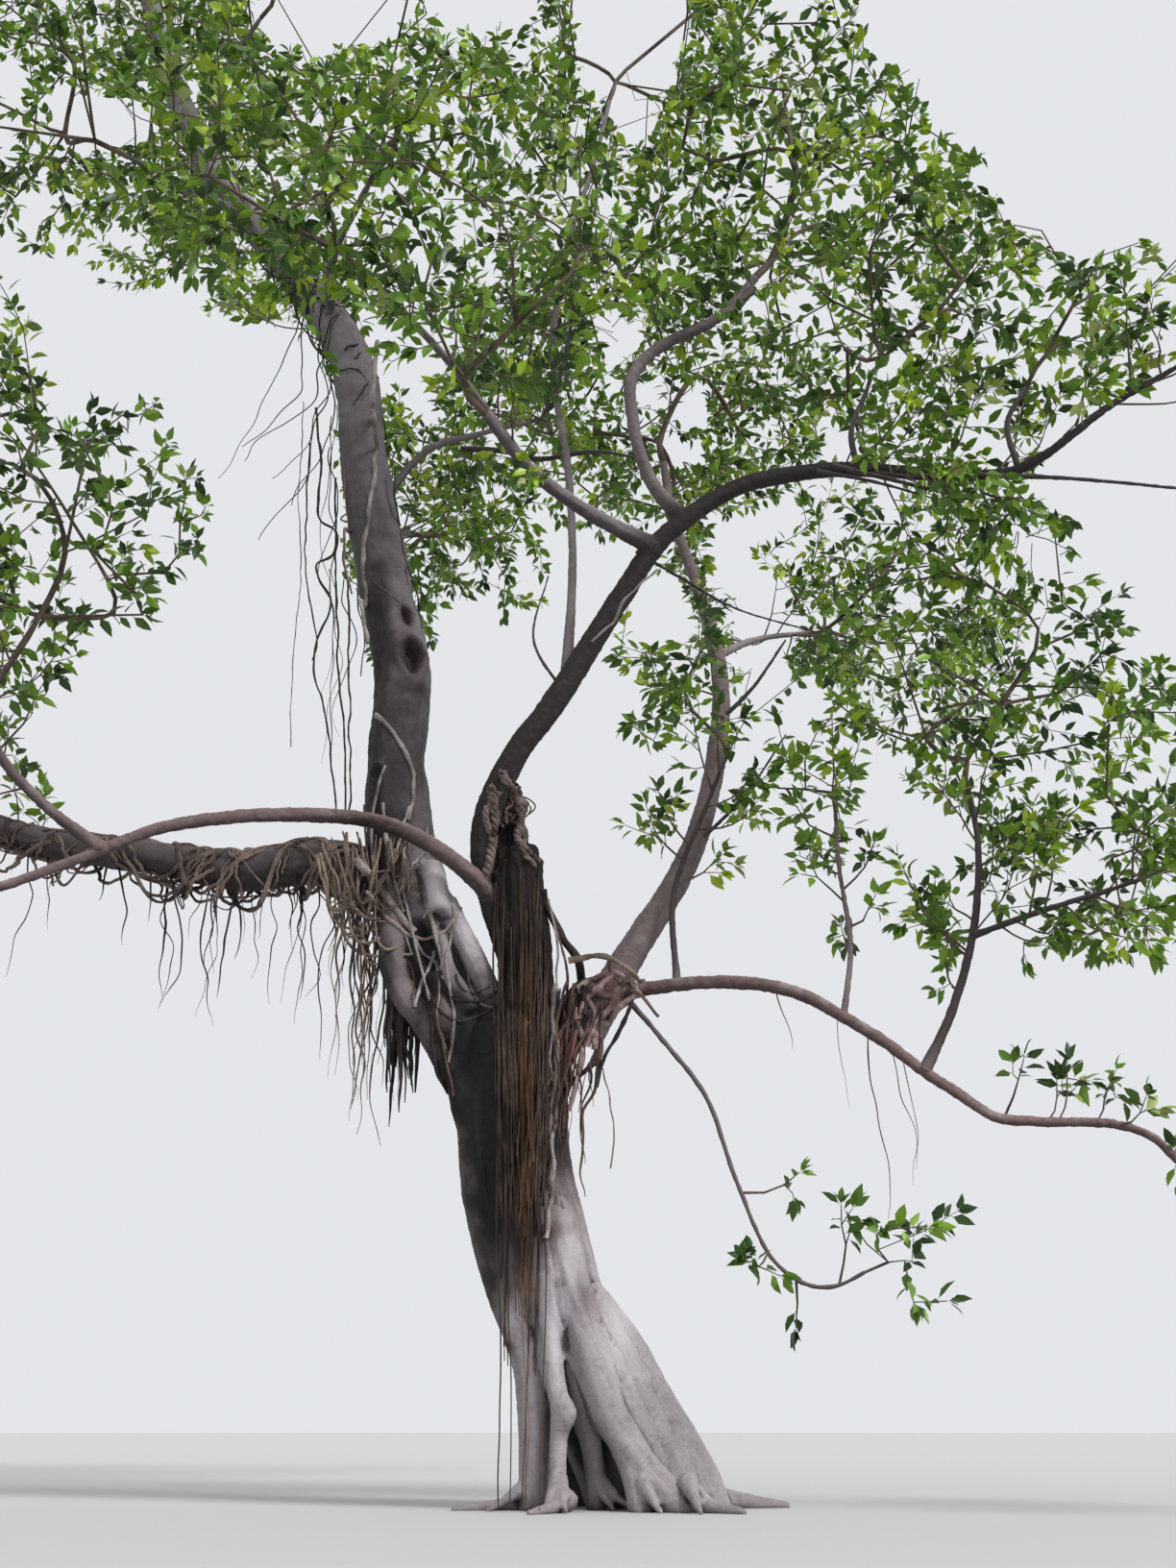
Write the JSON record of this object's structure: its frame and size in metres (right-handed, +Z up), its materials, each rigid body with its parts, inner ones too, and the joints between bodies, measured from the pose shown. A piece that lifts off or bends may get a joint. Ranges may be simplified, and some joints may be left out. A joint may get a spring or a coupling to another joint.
{
  "type": "strangler fig tree",
  "caption": "Leaning fig tree on a flared trunk of fused root columns, with a broken central stub, arching boughs, hanging aerial roots and an open crown of evergreen leaves.",
  "frame": {"origin": "on the flat cut under the trunk, at ground level, under the middle of the root flare", "axes": "+Z up, +X to the right and -Y towards the viewer in the picture"},
  "size_m": [8.2231, 5.3405, 9.9221],
  "materials": {
    "bark_pale": "smooth pale grey bark",
    "bark_red": "smooth reddish brown bark",
    "bark_dark": "dark brown bark",
    "rotten_wood": "fibrous rotten wood",
    "aerial_root": "fine brown roots",
    "leaf": "semi-gloss green leaves"
  },
  "bodies": {
    "root": {"trunk": "bark_pale", "broken_stub": "rotten_wood", "bough_leader": "bark_pale", "bough_centre": "bark_dark", "bough_fore": "bark_red", "bough_fore_left": "bark_red", "bough_s_curve": "bark_red", "bough_over_main": "bark_red", "bough_main_rise": "bark_red", "bough_sprout": "bark_red", "bough_sprout_side": "bark_red", "bough_right_stem": "bark_red", "bough_back_right": "bark_red", "bough_arch_left": "bark_red", "bough_arch_left_up": "bark_red", "bough_low_left": "bark_pale", "bough_arch_right": "bark_red", "bough_arch_sprout": "bark_red", "bough_right_upright": "bark_dark", "bough_upright_side": "bark_dark", "bough_thin_upright": "bark_dark", "bough_droop": "bark_red", "bough_high_left": "bark_red", "bough_top_right": "bark_red", "bough_top_back": "bark_red", "bough_high_fore": "bark_red", "bough_back_left": "bark_red", "bough_leader_right": "bark_red", "roots_curtain": "aerial_root", "roots_low_left_near": "aerial_root", "roots_low_left_far": "aerial_root", "roots_leader": "aerial_root", "roots_knot": "aerial_root", "foliage_crown_top": "leaf", "foliage_top_right": "leaf", "foliage_top_back": "leaf", "foliage_high_left": "leaf", "foliage_high_fore": "leaf", "foliage_fore_left": "leaf", "foliage_fore": "leaf", "foliage_centre": "leaf", "foliage_centre_top": "leaf", "foliage_s_top": "leaf", "foliage_over_main": "leaf", "foliage_main_rise": "leaf", "foliage_main_right": "leaf", "foliage_stem_top": "leaf", "foliage_back_right": "leaf", "foliage_arch_sprout": "leaf", "foliage_upright": "leaf", "foliage_upright_right": "leaf", "foliage_thin_top": "leaf", "foliage_arch_tip": "leaf", "foliage_droop_tip": "leaf", "foliage_left_mid": "leaf", "foliage_left_out": "leaf", "foliage_low_left": "leaf", "foliage_back_left": "leaf", "foliage_back_top": "leaf"}
  },
  "joints": []
}
